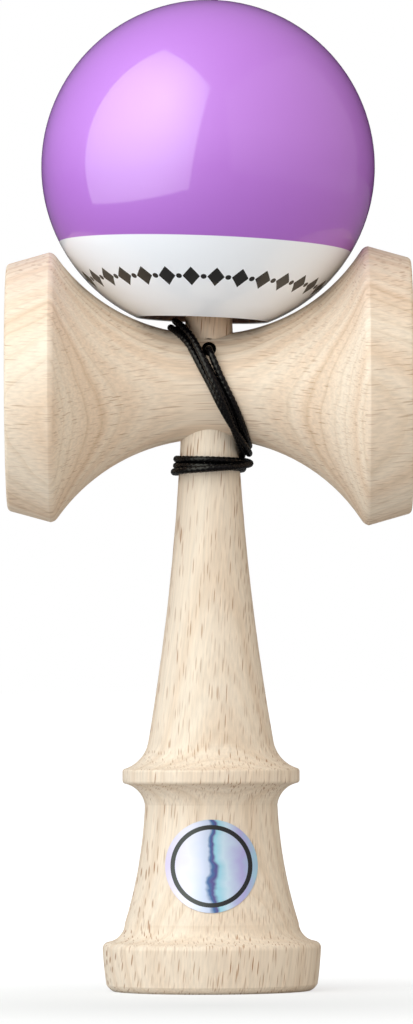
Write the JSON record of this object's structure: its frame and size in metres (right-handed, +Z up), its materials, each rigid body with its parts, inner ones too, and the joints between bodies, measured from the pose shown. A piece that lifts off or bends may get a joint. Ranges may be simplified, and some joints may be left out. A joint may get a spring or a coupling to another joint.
{
  "type": "kendama",
  "caption": "Wooden cup-and-ball toy: turned handle with a spike, cross piece with a cup at each end, and a lacquered ball standing on the spike, tied on by a wound string.",
  "frame": {"origin": "on the handle's axis, at the height of the base rim that the handle stands on", "axes": "+Z up the handle to the spike and the ball, +X along the cross piece to the large cup, -Y to the front, where the string hole is"},
  "size_m": [0.0726, 0.0613, 0.1787],
  "materials": {
    "raw_beech": "turned and sanded bare beech, pale, with short dark flecks along the grain",
    "lacquered_wood": "purple gloss lacquer over a white gloss band",
    "bead_plastic": "moulded black bead",
    "braided_string": "fine black braided polyester",
    "foil_film": "metallised holographic foil film"
  },
  "bodies": {
    "handle": {"ken_handle": "raw_beech", "sarado_cups": "raw_beech", "string_winding": "braided_string", "anchor_knot": "braided_string", "foil_sticker": "foil_film"},
    "bead": {"string_bead": "bead_plastic", "bead_knot": "braided_string", "string_tether": "braided_string"},
    "tama": {"tama_ball": "lacquered_wood"}
  },
  "joints": [
    {"name": "tama_lift", "type": "slide", "parent": "handle", "child": "bead", "axis": [0, 0, 1], "range_m": [0, 0.045], "deforming": ["string_tether"]},
    {"name": "tama_spin", "type": "hinge", "parent": "bead", "child": "tama", "pos_m": [0, 0, 0.14793], "axis": [0.0419, 0, 0.9991], "continuous": true}
  ]
}
